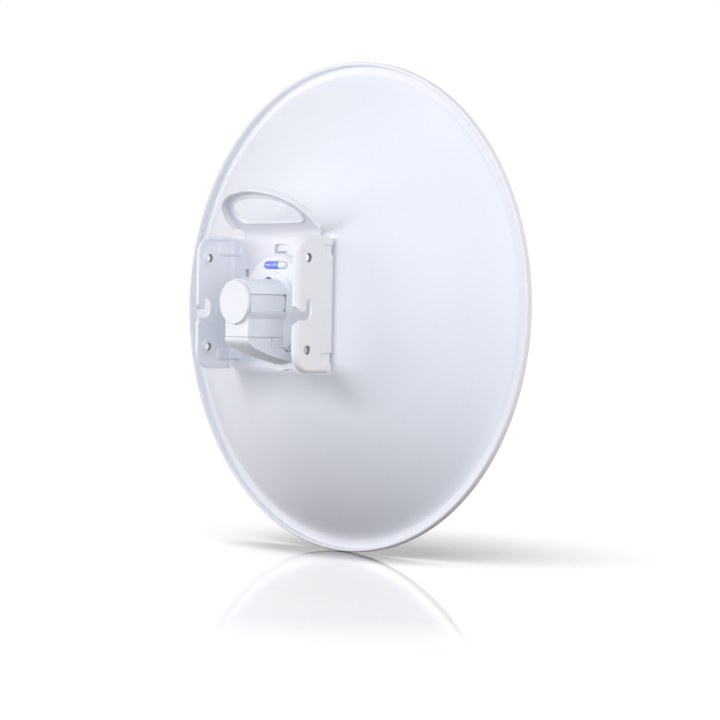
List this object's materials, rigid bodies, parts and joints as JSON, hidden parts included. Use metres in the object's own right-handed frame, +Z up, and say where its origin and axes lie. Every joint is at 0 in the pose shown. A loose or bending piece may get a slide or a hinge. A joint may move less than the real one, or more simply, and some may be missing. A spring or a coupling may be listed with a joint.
{
  "type": "parabolic dish antenna",
  "caption": "Round dish antenna on a pressed bracket with a carrying handle, with a tube-shaped radio behind the bowl and a feed in front of it.",
  "frame": {"origin": "on the flat outer face of the bracket's right ear, at the bracket's mid height, ahead of its hook slot", "axes": "+X out of the right ear, to the right seen from behind; +Y the way the bowl looks, along the beam; +Z up"},
  "size_m": [0.42, 0.2069, 0.42],
  "materials": {
    "reflector": "satin white powder coat",
    "bracket": "satin white powder coat",
    "collar": "fine satin white plastic",
    "level_vial": "clear tube with blue liquid",
    "radio_housing": "fine satin white plastic",
    "end_cap": "fine satin white plastic",
    "side_latch_left": "fine satin white plastic",
    "side_latch_right": "fine satin white plastic",
    "port_cover": "fine satin white plastic",
    "feed_tube": "fine satin white plastic",
    "feed_ring": "fine satin white plastic",
    "feed_head": "fine satin white plastic"
  },
  "bodies": {
    "root": {"reflector": "reflector", "bracket": "bracket", "collar": "collar", "level_vial": "level_vial", "radio_housing": "radio_housing", "end_cap": "end_cap", "side_latch_left": "side_latch_left", "side_latch_right": "side_latch_right", "port_cover": "port_cover", "feed_tube": "feed_tube", "feed_ring": "feed_ring", "feed_head": "feed_head"}
  },
  "joints": []
}
